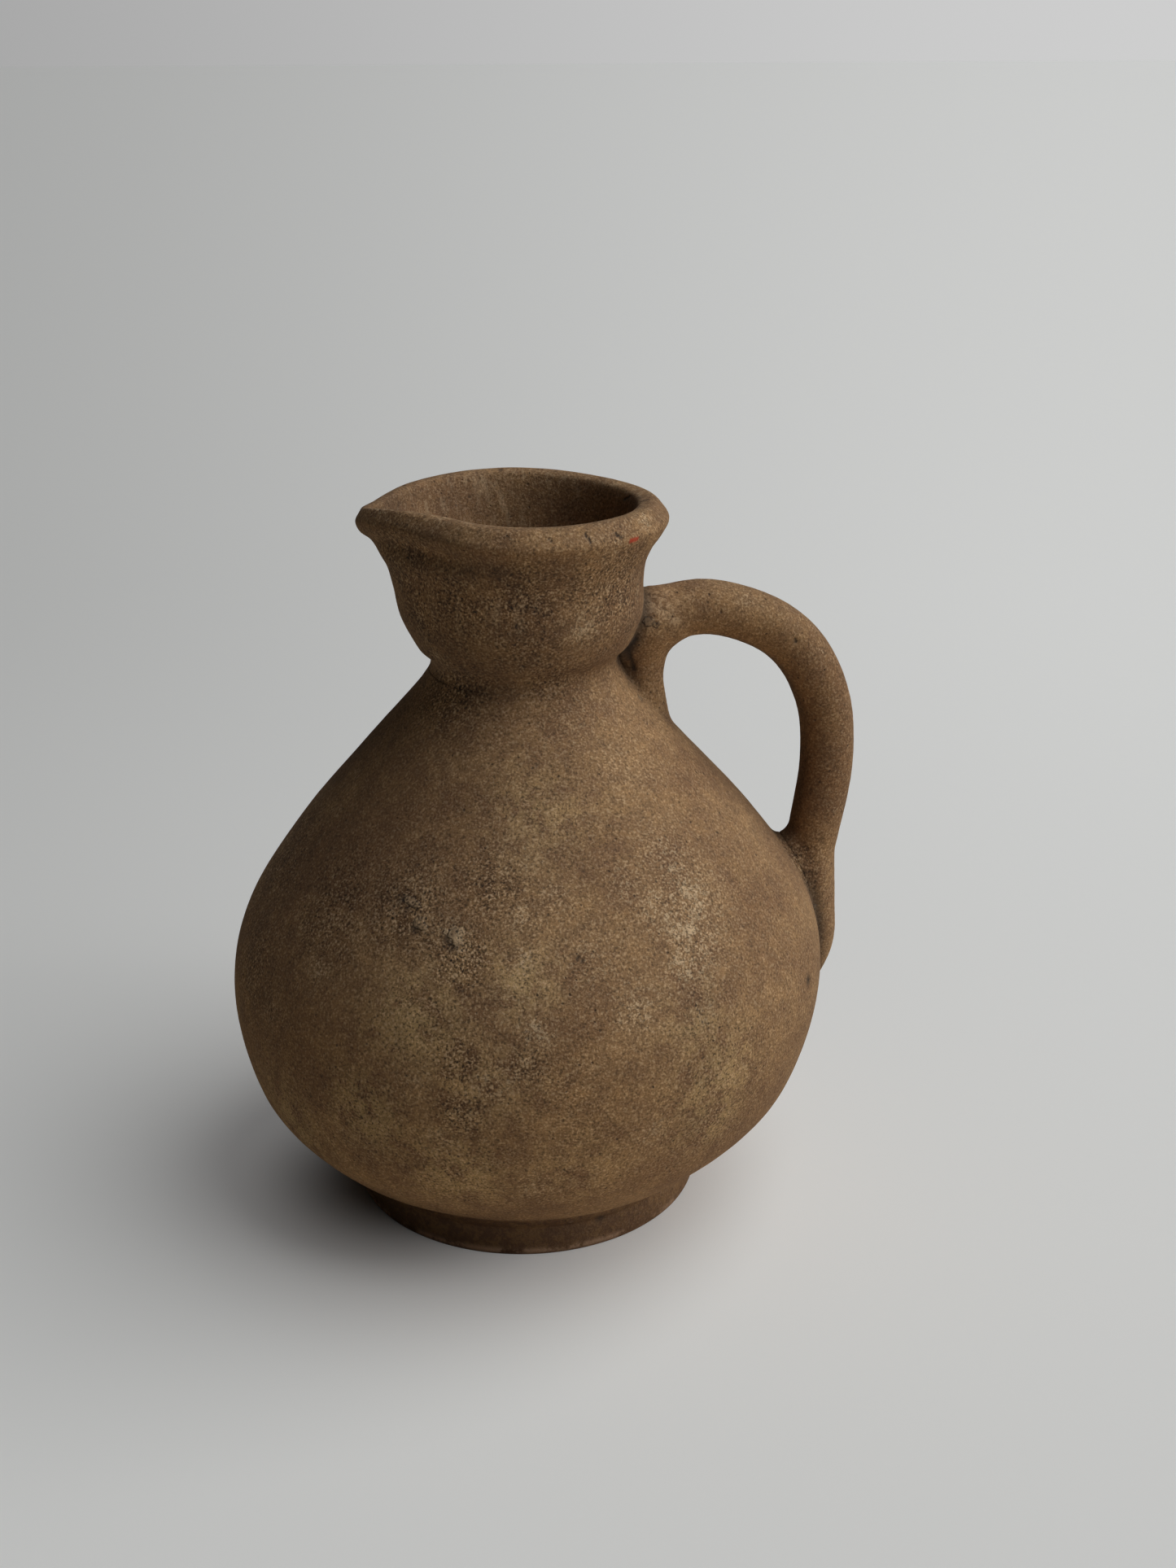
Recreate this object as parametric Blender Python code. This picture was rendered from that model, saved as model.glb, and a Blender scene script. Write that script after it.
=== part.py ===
"""Unglazed clay pitcher, built from the pieces a potter joins.

Units are metres, +Z up.  The origin is the centre of the foot's flat underside,
on the turning axis.  The handle is on the +X side and the spout on the -X side.
"""
import math

import bmesh
import bpy
from mathutils import Matrix, Vector

MM = 0.001
GAP = 0.3 * MM                     # space left between neighbouring pieces
TURN_STEPS = 48                    # straight sides around every turned piece

# Foot: a thick flat disc.
FOOT_RADIUS = 51.0 * MM
FOOT_HEIGHT = 11.7 * MM
FOOT_EDGE = 1.6 * MM               # rounding of the lower edge
FOOT_CHAMFER = 3.4 * MM            # bevel of the upper edge, filled by the luting coil

# Belly: a thrown globe, (radius, height) of its outer face from floor to shoulder.
WALL = 6.0 * MM
FLOOR_THICKNESS = 7.0 * MM
BELLY_FLOOR = FOOT_HEIGHT + GAP
BELLY_TOP = 154.0 * MM
BELLY_TOP_RADIUS = 28.5 * MM
BELLY_STATIONS = (
    (53.6 * MM, 13.4 * MM),
    (65.5 * MM, 22.0 * MM),
    (79.0 * MM, 38.0 * MM),
    (85.0 * MM, 63.0 * MM),
    (81.2 * MM, 86.5 * MM),
    (66.5 * MM, 110.0 * MM),
    (46.0 * MM, 134.0 * MM),
    (32.5 * MM, 149.0 * MM),
    (BELLY_TOP_RADIUS, BELLY_TOP),
)

# Neck: a thrown collar with a rolled lip, (radius, height) of its outer face.
NECK_FLOOR = BELLY_TOP + GAP
NECK_HOLE_RADIUS = 19.5 * MM
WAIST_RADIUS = 25.8 * MM
PITCHER_HEIGHT = 205.0 * MM
NECK_STATIONS = (
    (WAIST_RADIUS, NECK_FLOOR),
    (WAIST_RADIUS, 159.5 * MM),
    (29.8 * MM, 165.5 * MM),
    (33.6 * MM, 174.0 * MM),
    (34.6 * MM, 183.0 * MM),
    (36.8 * MM, 190.5 * MM),
    (40.6 * MM, 196.5 * MM),
)
LIP_RADIUS = 37.0 * MM             # turning radius of the middle of the lip
LIP_HALF_WIDTH = 5.0 * MM
LIP_HALF_HEIGHT = 3.6 * MM
LIP_MIDDLE = PITCHER_HEIGHT - LIP_HALF_HEIGHT

NECK_COIL_HEIGHT = 5.2 * MM        # of the clay that fills the corner below the waist
NECK_COIL_FACE = (                 # (distance outside the waist, share of the height)
    (GAP, 1.0),
    (0.9 * MM, 0.9),
    (2.6 * MM, 0.4),
)
FOOT_COIL_BULGE = 1.0 * MM         # of the clay in the groove between foot and belly
FOOT_COIL_DROP = 1.2 * MM          # from the foot's top down to that bulge

# Spout: the lip is pressed in on both sides of a small drawn-out tip, more on the -Y side.
SPOUT_START = 168.0 * MM           # height where the neck starts to leave the round
SPOUT_REACH = 1.6 * MM             # how far the tip stands outside the round mouth
SPOUT_WIDTH = math.radians(17.0)
PINCHES = (                        # (depth, angle from the tip, width) of each press
    (5.0 * MM, math.radians(42.0), math.radians(24.0)),
    (1.4 * MM, math.radians(-38.0), math.radians(20.0)),
)

# Handle: one round rod, (X, height) of its middle from the neck down to the belly.
HANDLE_RADIUS = 7.7 * MM
HANDLE_SIDES = 16
HANDLE_STATIONS = (
    (28.0 * MM, 167.6 * MM),
    (40.0 * MM, 170.6 * MM),
    (54.0 * MM, 171.6 * MM),
    (69.5 * MM, 166.5 * MM),
    (81.0 * MM, 156.0 * MM),
    (88.2 * MM, 140.0 * MM),
    (89.3 * MM, 123.0 * MM),
    (86.8 * MM, 105.0 * MM),
    (85.4 * MM, 93.0 * MM),
    (85.8 * MM, 84.0 * MM),
)

# Brace: a short leg of clay under the handle's upper end,
# (X, height, half thickness along X) of its middle.
BRACE_STATIONS = (
    (37.5 * MM, 167.0 * MM, 9.0 * MM),
    (36.4 * MM, 161.0 * MM, 6.3 * MM),
    (35.6 * MM, 153.0 * MM, 4.9 * MM),
    (35.8 * MM, 146.0 * MM, 5.5 * MM),
    (35.8 * MM, 139.0 * MM, 8.0 * MM),
)
BRACE_DEPTH = 1.2                  # thickness along Y over thickness along X
BRACE_SIDES = 16

# Clay pressed over the handle's ends.
COLLAR_STATIONS = (
    (29.0 * MM, 168.0 * MM, 11.2 * MM),
    (36.0 * MM, 169.8 * MM, 10.2 * MM),
    (41.5 * MM, 170.8 * MM, 8.9 * MM),
    (45.0 * MM, 171.2 * MM, 8.3 * MM),
)
TAIL_STATIONS = (
    (85.8 * MM, 84.0 * MM - GAP, 7.7 * MM),
    (86.2 * MM, 76.0 * MM, 8.0 * MM),
    (86.0 * MM, 67.0 * MM, 8.3 * MM),
    (83.4 * MM, 57.5 * MM, 8.0 * MM),
    (78.5 * MM, 48.0 * MM, 6.8 * MM),
    (72.0 * MM, 40.0 * MM, 5.0 * MM),
)
TAIL_WIDENING = 1.35               # how much wider than thick the tail is at its middle

CLAY = (0.205, 0.135, 0.080)
DARK_CLAY = (0.150, 0.095, 0.055)
PALE_CLAY = (0.290, 0.215, 0.145)


def clear_scene():
    for scene_object in list(bpy.data.objects):
        bpy.data.objects.remove(scene_object, do_unlink=True)


def clay_material(name, colour):
    """Matt fired clay without glaze."""
    material = bpy.data.materials.new(name)
    material.use_nodes = True
    shader = material.node_tree.nodes["Principled BSDF"]
    shader.inputs["Base Color"].default_value = (*colour, 1.0)
    shader.inputs["Roughness"].default_value = 0.85
    shader.inputs["Metallic"].default_value = 0.0
    return material


def smooth_curve(stations, steps):
    """Points on the Catmull-Rom curve through the stations, steps to a span."""
    points = [Vector(station) for station in stations]
    first = points[0] * 2 - points[1]
    last = points[-1] * 2 - points[-2]
    padded = [first, *points, last]
    curve = []
    for index in range(1, len(padded) - 2):
        before, start, end, after = padded[index - 1:index + 3]
        for step in range(steps):
            t = step / steps
            curve.append(0.5 * (2 * start + (end - before) * t
                                + (2 * before - 5 * start + 4 * end - after) * t ** 2
                                + (3 * start - before - 3 * end + after) * t ** 3))
    curve.append(points[-1])
    return curve


def offset_profile(profile, distance):
    """The profile moved sideways, outwards from the axis for a positive distance."""
    moved = []
    for index, point in enumerate(profile):
        ahead = profile[min(index + 1, len(profile) - 1)]
        behind = profile[max(index - 1, 0)]
        along = (ahead - behind).normalized()
        moved.append(point + Vector((along.y, -along.x)) * distance)
    return moved


def add_object(name, mesh_data, material):
    """Turn bmesh data into a smooth shaded object."""
    bmesh.ops.recalc_face_normals(mesh_data, faces=mesh_data.faces)
    mesh = bpy.data.meshes.new(name)
    mesh_data.to_mesh(mesh)
    mesh_data.free()
    mesh.shade_smooth()
    mesh.set_sharp_from_angle(angle=math.radians(40.0))
    piece = bpy.data.objects.new(name, mesh)
    bpy.context.scene.collection.objects.link(piece)
    if material:
        mesh.materials.append(material)
    else:
        piece.hide_render = True
        piece.display_type = "WIRE"
    return piece


def turned(name, profile, material, ring=False):
    """Spin a profile of (radius, height) about Z; a ring's profile is a closed loop."""
    mesh_data = bmesh.new()
    corners = [mesh_data.verts.new((radius, 0.0, height)) for radius, height in profile]
    ends = corners[1:] + corners[:1] if ring else corners[1:]
    sides = [mesh_data.edges.new(pair) for pair in zip(corners, ends)]
    bmesh.ops.spin(mesh_data, geom=corners + sides, cent=(0, 0, 0), axis=(0, 0, 1),
                   dvec=(0, 0, 0), angle=math.tau, steps=TURN_STEPS, use_merge=True)
    bmesh.ops.remove_doubles(mesh_data, verts=mesh_data.verts, dist=0.001 * MM)
    return add_object(name, mesh_data, material)


def swept(name, stations, sides, widths, material):
    """A rod in the XZ plane through stations of (X, height, radius).

    widths gives, for each station, how much wider along Y the rod is than its radius.
    """
    mesh_data = bmesh.new()
    loops = []
    for index, (x, height, radius) in enumerate(stations):
        ahead = stations[min(index + 1, len(stations) - 1)]
        behind = stations[max(index - 1, 0)]
        along = Vector((ahead[0] - behind[0], 0.0, ahead[1] - behind[1])).normalized()
        across = Vector((0.0, 1.0, 0.0))
        frame = Matrix((across, along.cross(across), along)).transposed().to_4x4()
        size = Matrix.Diagonal((widths[index], 1.0, 1.0, 1.0))
        place = Matrix.Translation((x, 0.0, height)) @ frame @ size
        is_end = index in (0, len(stations) - 1)
        circle = bmesh.ops.create_circle(mesh_data, cap_ends=is_end, segments=sides,
                                         radius=radius, matrix=place)
        edges = {edge for vert in circle["verts"] for edge in vert.link_edges}
        loops.append([edge for edge in edges if len(edge.link_faces) < 2])
    for loop, following in zip(loops, loops[1:]):
        bmesh.ops.bridge_loops(mesh_data, edges=loop + following)
    return add_object(name, mesh_data, material)


def rod_stations(stations, radius, steps):
    """Smooth stations of one radius along a path of (X, height)."""
    return [(point.x, point.y, radius) for point in smooth_curve(stations, steps)]


def cut(piece, *cutters):
    """Take the cutters' shapes out of a piece."""
    for cutter in cutters:
        boolean = piece.modifiers.new("clear_of_" + cutter.name, "BOOLEAN")
        boolean.operation = "DIFFERENCE"
        boolean.solver = "EXACT"
        boolean.object = cutter


def spout_shift(angle, height):
    """How far the neck's wall moves away from the axis, by direction and height."""
    rise = min(max((height - SPOUT_START) / (LIP_MIDDLE - SPOUT_START), 0.0), 1.0)
    from_tip = math.remainder(angle - math.pi, math.tau)
    tip = SPOUT_REACH * math.exp(-((from_tip / SPOUT_WIDTH) ** 2))
    press = sum(depth * math.exp(-(((from_tip - angle_to_press) / width) ** 2))
                for depth, angle_to_press, width in PINCHES)
    return rise ** 2 * (tip - press)


def pull_spout(piece):
    """Move the turned neck's vertices to form the pinched spout."""
    for vertex in piece.data.vertices:
        radius = math.hypot(vertex.co.x, vertex.co.y)
        if radius < GAP:
            continue
        angle = math.atan2(vertex.co.y, vertex.co.x)
        scale = 1.0 + spout_shift(angle, vertex.co.z) / radius
        vertex.co.x *= scale
        vertex.co.y *= scale


def belly_face():
    return smooth_curve(BELLY_STATIONS, 2)


def neck_face():
    return smooth_curve(NECK_STATIONS, 2)


def lip_arc():
    """The rolled lip's round section, from its outer side over its crest to the inside."""
    steps = 8
    start, end = math.radians(-25.0), math.radians(215.0)
    for step in range(steps + 1):
        turn = start + (end - start) * step / steps
        yield Vector((LIP_RADIUS + LIP_HALF_WIDTH * math.cos(turn),
                      LIP_MIDDLE + LIP_HALF_HEIGHT * math.sin(turn)))


def build_foot(clay):
    """Flat disc, its lower edge worn round."""
    profile = (
        (0.0, 0.0),
        (FOOT_RADIUS - FOOT_EDGE, 0.0),
        (FOOT_RADIUS - 0.3 * FOOT_EDGE, 0.3 * FOOT_EDGE),
        (FOOT_RADIUS, FOOT_EDGE),
        (FOOT_RADIUS, FOOT_HEIGHT - FOOT_CHAMFER),
        (FOOT_RADIUS - FOOT_CHAMFER, FOOT_HEIGHT),
        (0.0, FOOT_HEIGHT),
    )
    return turned("foot", profile, clay)


def build_belly(clay):
    """Hollow globe with a flat floor, open at the shoulder."""
    outside = belly_face()
    inside = [point for point in reversed(offset_profile(outside, -WALL))
              if point.y > BELLY_FLOOR + FLOOR_THICKNESS]
    inside[0] = Vector((BELLY_TOP_RADIUS - WALL, BELLY_TOP))
    profile = [
        (0.0, BELLY_FLOOR),
        (FOOT_RADIUS - FOOT_CHAMFER, BELLY_FLOOR),
        *outside,
        *inside,
        (0.0, BELLY_FLOOR + FLOOR_THICKNESS),
    ]
    return turned("belly", profile, clay)


def build_neck(clay):
    """Hollow collar with a rolled lip and a pinched spout."""
    outside = neck_face()
    inside = [point for point in reversed(offset_profile(outside, -WALL))]
    inside = [point for point in inside if point.y > NECK_FLOOR]
    profile = [
        (NECK_HOLE_RADIUS, NECK_FLOOR),
        *outside,
        *lip_arc(),
        *inside,
    ]
    neck = turned("neck", profile, clay, ring=True)
    pull_spout(neck)
    return neck


def neck_coil_face():
    """Outer face of the neck's luting coil, from the neck down to the shoulder."""
    face = [Vector((WAIST_RADIUS + out, BELLY_TOP + share * NECK_COIL_HEIGHT))
            for out, share in NECK_COIL_FACE]
    return [*face, offset_profile(belly_face(), GAP)[-2]]


def build_neck_luting_coil(clay):
    """Thin coil of clay that fills the corner between neck and shoulder."""
    profile = [
        (WAIST_RADIUS + GAP, BELLY_TOP + GAP),
        *neck_coil_face(),
        (BELLY_TOP_RADIUS + GAP, BELLY_TOP + GAP),
    ]
    return turned("neck_luting_coil", profile, clay, ring=True)


def build_foot_luting_coil(clay):
    """Thin coil of clay that fills the groove between foot and belly."""
    belly_edge = offset_profile(belly_face(), GAP)[0]
    profile = [
        (FOOT_RADIUS - FOOT_CHAMFER + GAP, FOOT_HEIGHT + 0.5 * GAP),
        (FOOT_RADIUS + GAP, FOOT_HEIGHT - FOOT_CHAMFER + 0.5 * GAP),
        (FOOT_RADIUS + FOOT_COIL_BULGE, FOOT_HEIGHT - FOOT_COIL_DROP),
        (belly_edge.x, belly_edge.y - GAP),
    ]
    return turned("foot_luting_coil", profile, clay, ring=True)


def build_clearances():
    """Solid shapes, one gap larger than the pieces, that cut the pieces around them."""
    belly = [(0.0, 0.0), (FOOT_RADIUS, 0.0), *offset_profile(belly_face(), GAP),
             (0.0, BELLY_TOP)]
    neck = [(0.0, BELLY_TOP), (WAIST_RADIUS + GAP, BELLY_TOP),
            *offset_profile(neck_face(), GAP), (0.0, NECK_STATIONS[-1][1])]
    coil = offset_profile(neck_coil_face(), -GAP)
    coil = [(0.0, coil[-1].y), *reversed(coil), (0.0, coil[0].y)]
    handle = rod_stations(HANDLE_STATIONS, HANDLE_RADIUS + GAP, 3)
    brace = [(x, z, radius + GAP) for x, z, radius in smooth_curve(BRACE_STATIONS, 3)]
    shapes = {
        "belly": turned("belly_clearance", belly, None),
        "neck": turned("neck_clearance", neck, None),
        "neck_coil": turned("neck_coil_clearance", coil, None),
        "handle": swept("handle_clearance", handle, HANDLE_SIDES, [1.0] * len(handle), None),
        "brace": swept("brace_clearance", brace, BRACE_SIDES, [BRACE_DEPTH] * len(brace), None),
    }
    pull_spout(shapes["neck"])
    return shapes


def build_handle(clay, clearances):
    """Round rod bent from the neck, out and down, onto the belly."""
    stations = rod_stations(HANDLE_STATIONS, HANDLE_RADIUS, 3)
    handle = swept("handle", stations, HANDLE_SIDES, [1.0] * len(stations), clay)
    cut(handle, clearances["neck"], clearances["belly"])
    return handle


def build_handle_brace(clay, clearances):
    """Short leg that carries the handle's upper end on the shoulder."""
    stations = [tuple(point) for point in smooth_curve(BRACE_STATIONS, 3)]
    brace = swept("handle_brace", stations, BRACE_SIDES, [BRACE_DEPTH] * len(stations), clay)
    cut(brace, clearances["handle"], clearances["neck"], clearances["belly"],
        clearances["neck_coil"])
    return brace


def build_handle_collar(clay, clearances):
    """Clay pressed around the handle's upper end where it meets the neck."""
    stations = [tuple(point) for point in smooth_curve(COLLAR_STATIONS, 2)]
    collar = swept("handle_top_luting_clay", stations, HANDLE_SIDES,
                   [1.0] * len(stations), clay)
    cut(collar, clearances["handle"], clearances["neck"], clearances["brace"])
    return collar


def build_handle_tail(clay, clearances):
    """Clay smeared down the belly below the handle's lower end."""
    stations = [tuple(point) for point in smooth_curve(TAIL_STATIONS, 3)]
    last = len(stations) - 1
    widths = [1.0 + (TAIL_WIDENING - 1.0) * math.sin(math.pi * index / last)
              for index in range(last + 1)]
    tail = swept("handle_tail_clay", stations, HANDLE_SIDES, widths, clay)
    cut(tail, clearances["belly"])
    return tail


def build_pitcher():
    clay = clay_material("fired_clay", CLAY)
    dark_clay = clay_material("fired_clay_dark", DARK_CLAY)
    pale_clay = clay_material("luting_clay", PALE_CLAY)
    clearances = build_clearances()
    build_foot(dark_clay)
    build_belly(clay)
    build_neck(clay)
    build_handle(clay, clearances)
    build_handle_brace(clay, clearances)
    build_neck_luting_coil(dark_clay)
    build_foot_luting_coil(dark_clay)
    build_handle_collar(pale_clay, clearances)
    build_handle_tail(pale_clay, clearances)


clear_scene()
build_pitcher()
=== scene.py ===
"""Looks of an unglazed clay pitcher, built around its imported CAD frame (metres, +Z up)."""
import math
from types import SimpleNamespace

import bpy
import numpy as np
from mathutils import Matrix, Vector


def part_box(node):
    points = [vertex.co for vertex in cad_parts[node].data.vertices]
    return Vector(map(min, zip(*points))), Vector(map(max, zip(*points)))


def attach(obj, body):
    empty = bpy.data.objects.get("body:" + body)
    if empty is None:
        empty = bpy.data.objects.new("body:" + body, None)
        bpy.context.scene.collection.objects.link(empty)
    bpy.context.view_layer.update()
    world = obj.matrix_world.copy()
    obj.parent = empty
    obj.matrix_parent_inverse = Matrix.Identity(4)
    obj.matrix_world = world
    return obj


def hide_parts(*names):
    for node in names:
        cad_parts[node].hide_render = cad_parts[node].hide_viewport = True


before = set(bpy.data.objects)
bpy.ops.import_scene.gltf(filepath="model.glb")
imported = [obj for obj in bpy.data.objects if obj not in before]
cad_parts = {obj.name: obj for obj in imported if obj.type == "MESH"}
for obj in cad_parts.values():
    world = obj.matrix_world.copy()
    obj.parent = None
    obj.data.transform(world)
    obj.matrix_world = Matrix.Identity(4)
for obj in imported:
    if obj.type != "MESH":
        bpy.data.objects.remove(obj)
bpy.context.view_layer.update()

MM = 0.001

# Places and sizes read from the frame.
FOOT_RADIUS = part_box("foot")[1][0]
FOOT_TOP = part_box("foot")[1][2]
BELLY_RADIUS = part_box("belly")[1][0]
BELLY_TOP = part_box("belly")[1][2]
PITCHER_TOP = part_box("neck")[1][2]

# Outer face of foot, belly, waist and neck as one run of (radius, height).
FOOT_STATIONS = (
    (FOOT_RADIUS - 0.9 * MM, 0.0),
    (FOOT_RADIUS - 0.25 * MM, 0.4 * MM),
    (FOOT_RADIUS, 1.6 * MM),
    (FOOT_RADIUS + 0.2 * MM, 6.0 * MM),
    (FOOT_RADIUS + 0.2 * MM, FOOT_TOP - 1.2 * MM),
)
BELLY_STATIONS = (
    (FOOT_RADIUS + 0.8 * MM, FOOT_TOP + 0.2 * MM),
    (FOOT_RADIUS + 3.0 * MM, FOOT_TOP + 1.6 * MM),
    (65.6 * MM, 21.8 * MM),
    (79.0 * MM, 38.0 * MM),
    (BELLY_RADIUS, 63.5 * MM),
    (81.3 * MM, 86.5 * MM),
    (66.6 * MM, 110.0 * MM),
    (46.0 * MM, 134.0 * MM),
    (32.0 * MM, 149.6 * MM),
)
WAIST_STATIONS = (
    (28.1 * MM, BELLY_TOP + 0.6 * MM),
    (26.2 * MM, BELLY_TOP + 4.0 * MM),
    (25.9 * MM, BELLY_TOP + 6.6 * MM),
    (27.3 * MM, BELLY_TOP + 8.9 * MM),
)
NECK_STATIONS = (
    (29.6 * MM, 165.3 * MM),
    (33.1 * MM, 173.5 * MM),
    (34.0 * MM, 182.0 * MM),
    (35.2 * MM, 188.0 * MM),
)
BODY_STATIONS = (*FOOT_STATIONS, *BELLY_STATIONS, *WAIST_STATIONS, *NECK_STATIONS)
FOOT_SEAM = FOOT_TOP + 0.4 * MM    # heights where one turned piece gives way to the next
COIL_SEAM = BELLY_TOP + 1.0 * MM
NECK_SEAM = BELLY_TOP + 6.0 * MM
TUCK_LENGTH = 3.2 * MM             # how far a piece runs on under its neighbour
TUCK_SOFTNESS = 2.0 * MM
SETTLED_NECK_TOP = 179.0 * MM      # above this the neck is too far from the arm to be settled
WALL = 6.0 * MM
FLOOR_THICKNESS = 7.0 * MM
THROAT_RADIUS = 21.5 * MM
NECK_COIL_WALL = 2.4 * MM

# The mouth by direction, in degrees from the spout's tip, negative on the near (-Y) side:
# (direction, outer radius, width of the lip, crest's height under the top, crease depth).
MOUTH = (
    (-180.0, 41.4 * MM, 9.2 * MM, 0.9 * MM, 0.0),
    (-135.0, 40.9 * MM, 8.4 * MM, 0.7 * MM, 0.0),
    (-90.0, 40.0 * MM, 8.8 * MM, 0.3 * MM, 0.2 * MM),
    (-65.0, 38.2 * MM, 9.2 * MM, -0.1 * MM, 0.8 * MM),
    (-42.0, 35.8 * MM, 8.2 * MM, -0.6 * MM, 1.4 * MM),
    (-22.0, 37.4 * MM, 5.6 * MM, -0.8 * MM, 1.6 * MM),
    (-8.0, 41.0 * MM, 4.6 * MM, -0.1 * MM, 1.2 * MM),
    (3.0, 42.6 * MM, 5.2 * MM, 1.3 * MM, 0.7 * MM),
    (18.0, 40.4 * MM, 5.0 * MM, 1.5 * MM, 0.3 * MM),
    (45.0, 39.6 * MM, 6.2 * MM, 0.0, 0.2 * MM),
    (90.0, 40.6 * MM, 7.4 * MM, -0.3 * MM, 0.0),
    (135.0, 40.8 * MM, 8.2 * MM, 0.8 * MM, 0.0),
)
WIDEST_MOUTH = 41.0 * MM
NARROW_LIP = 4.0 * MM
WIDE_LIP = 9.0 * MM
LIP_ROOT = 37.0 * MM               # radius just under the lip where the mouth is widest
INNER_NECK_STATIONS = (
    (28.2 * MM, 181.0 * MM),
    (26.6 * MM, 173.0 * MM),
    (22.6 * MM, 165.0 * MM),
    (20.0 * MM, 158.5 * MM),
    (19.6 * MM, 150.0 * MM),
)

# Arm: (X, height, radius) of the middle lines of the handle and of what joins it.
HANDLE_STATIONS = (
    (28.0 * MM, 165.8 * MM, 8.0 * MM),
    (40.0 * MM, 169.9 * MM, 7.7 * MM),
    (54.0 * MM, 171.6 * MM, 7.7 * MM),
    (69.5 * MM, 166.5 * MM, 7.7 * MM),
    (80.6 * MM, 156.5 * MM, 7.7 * MM),
    (87.6 * MM, 141.0 * MM, 7.7 * MM),
    (88.9 * MM, 123.0 * MM, 7.7 * MM),
    (86.4 * MM, 105.0 * MM, 7.5 * MM),
    (84.4 * MM, 93.0 * MM, 7.3 * MM),
    (84.0 * MM, 84.0 * MM, 7.3 * MM),
    (83.6 * MM, 78.0 * MM, 6.0 * MM),
)
BRACE_STATIONS = (
    (37.0 * MM, 167.0 * MM, 7.6 * MM),
    (35.0 * MM, 160.5 * MM, 6.6 * MM),
    (34.0 * MM, 153.0 * MM, 6.2 * MM),
    (34.0 * MM, 146.0 * MM, 6.8 * MM),
    (34.4 * MM, 138.0 * MM, 7.8 * MM),
)
BRACE_DEPTH = 0.95
COLLAR_STATIONS = (
    (32.0 * MM, 167.4 * MM, 7.9 * MM),
    (35.5 * MM, 168.7 * MM, 8.1 * MM),
    (40.0 * MM, 169.6 * MM, 7.6 * MM),
)
COLLAR_DEPTH = 1.04
TAIL_STATIONS = (
    (84.4 * MM, 90.0 * MM, 6.4 * MM),
    (84.6 * MM, 82.0 * MM, 7.4 * MM),
    (85.2 * MM, 74.0 * MM, 8.1 * MM),
    (84.9 * MM, 66.0 * MM, 8.2 * MM),
    (82.2 * MM, 58.0 * MM, 7.6 * MM),
    (78.5 * MM, 51.0 * MM, 6.2 * MM),
    (74.0 * MM, 45.0 * MM, 4.0 * MM),
)
TAIL_WIDTH = 1.25
FOOT_COIL_RADIUS = FOOT_RADIUS - 0.2 * MM
FOOT_COIL_THICKNESS = 1.7 * MM

# Widths over which neighbouring pieces melt into each other.
ARM_FILLET = 4.5 * MM
COLLAR_FILLET = 2.0 * MM
JOINT_FILLET = 1.7 * MM
FOOT_COIL_FILLET = 1.6 * MM
WEBBING_PLACE = (78.0 * MM, 0.0, 98.0 * MM)    # a wider fillet where the handle meets the belly
WEBBING_FILLET = 8.0 * MM
WEBBING_REACH = 9.0 * MM
ARM_PIECES = ("handle", "handle_brace", "handle_top_luting_clay", "handle_tail_clay")

# Hand-made unevenness: the middle line's drift by height, and soft lumps (size, height).
DRIFT_ANGLE = math.radians(-10.0)
DRIFT = (
    (0.0, -1.0 * MM),
    (16.0 * MM, -1.6 * MM),
    (30.0 * MM, -1.1 * MM),
    (52.0 * MM, 0.0),
    (94.0 * MM, 1.5 * MM),
    (135.0 * MM, 0.8 * MM),
    (166.0 * MM, 1.1 * MM),
    (185.0 * MM, 0.0),
    (PITCHER_TOP, -0.7 * MM),
)
FOOT_NEARER = 1.2 * MM             # the foot sits this far nearer -Y than the belly
LUMPS = ((46.0 * MM, 0.5 * MM), (17.0 * MM, 0.16 * MM), (6.0 * MM, 0.05 * MM),
         (2.4 * MM, 0.025 * MM))
LUMP_SEED = 20
FLAT_UNDER = 14.0 * MM             # the lumps fade out over this height, so the foot stands flat
FOOT_UNEVENNESS = 0.3              # share of the sideways lumps that is left at the foot
NEARER_UP_TO = 40.0 * MM
CLODS = ((3.4 * MM, 1.0, 5), (1.5 * MM, 0.6, 6))    # (size, share, seed) of lumps in luting clay
COIL_CLODS = 0.12 * MM
COLLAR_CLODS = 0.4 * MM
TAIL_CLODS = 0.1 * MM
# reach of the painted shade in the corners where the arm meets the body
JOINT_SHADE_REACH = 3.0 * MM

# How rings are settled on the filleted face.
SETTLING_ROUNDS = 5
SETTLED_WITHIN = 0.003 * MM
SLOPE_PROBE = 0.04 * MM
LEAST_SLOPE = 0.2
LONGEST_MOVE = 2.0 * MM

# Mesh density: points around each turned piece, and the spacing of its rings.
FINE = 1.0
BELLY_SIDES, BELLY_SPACING = 460, 0.95 * MM
NECK_SIDES, NECK_ROWS, NECK_SPACING = 440, 185, 0.7 * MM
FOOT_SIDES, FOOT_SPACING = 420, 0.6 * MM
NECK_COIL_SIDES, NECK_COIL_SPACING = 360, 0.5 * MM
FOOT_COIL_SIDES, FOOT_COIL_SECTION = 420, 32


def smooth_curve(stations, steps):
    """Points on the Catmull-Rom curve through the stations, steps to a span."""
    points = np.array(stations, dtype=float)
    padded = np.vstack([2 * points[0] - points[1], points, 2 * points[-1] - points[-2]])
    t = (np.arange(steps) / steps)[:, None]
    spans = []
    for before, start, end, after in zip(padded, padded[1:], padded[2:], padded[3:]):
        spans.append(0.5 * (2 * start + (end - before) * t
                            + (2 * before - 5 * start + 4 * end - after) * t ** 2
                            + (3 * start - before - 3 * end + after) * t ** 3))
    return np.vstack([*spans, points[-1:]])


def path_lengths(path):
    """Length along the path up to each of its points."""
    return np.concatenate([[0.0], np.cumsum(np.linalg.norm(np.diff(path, axis=0), axis=1))])


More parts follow.
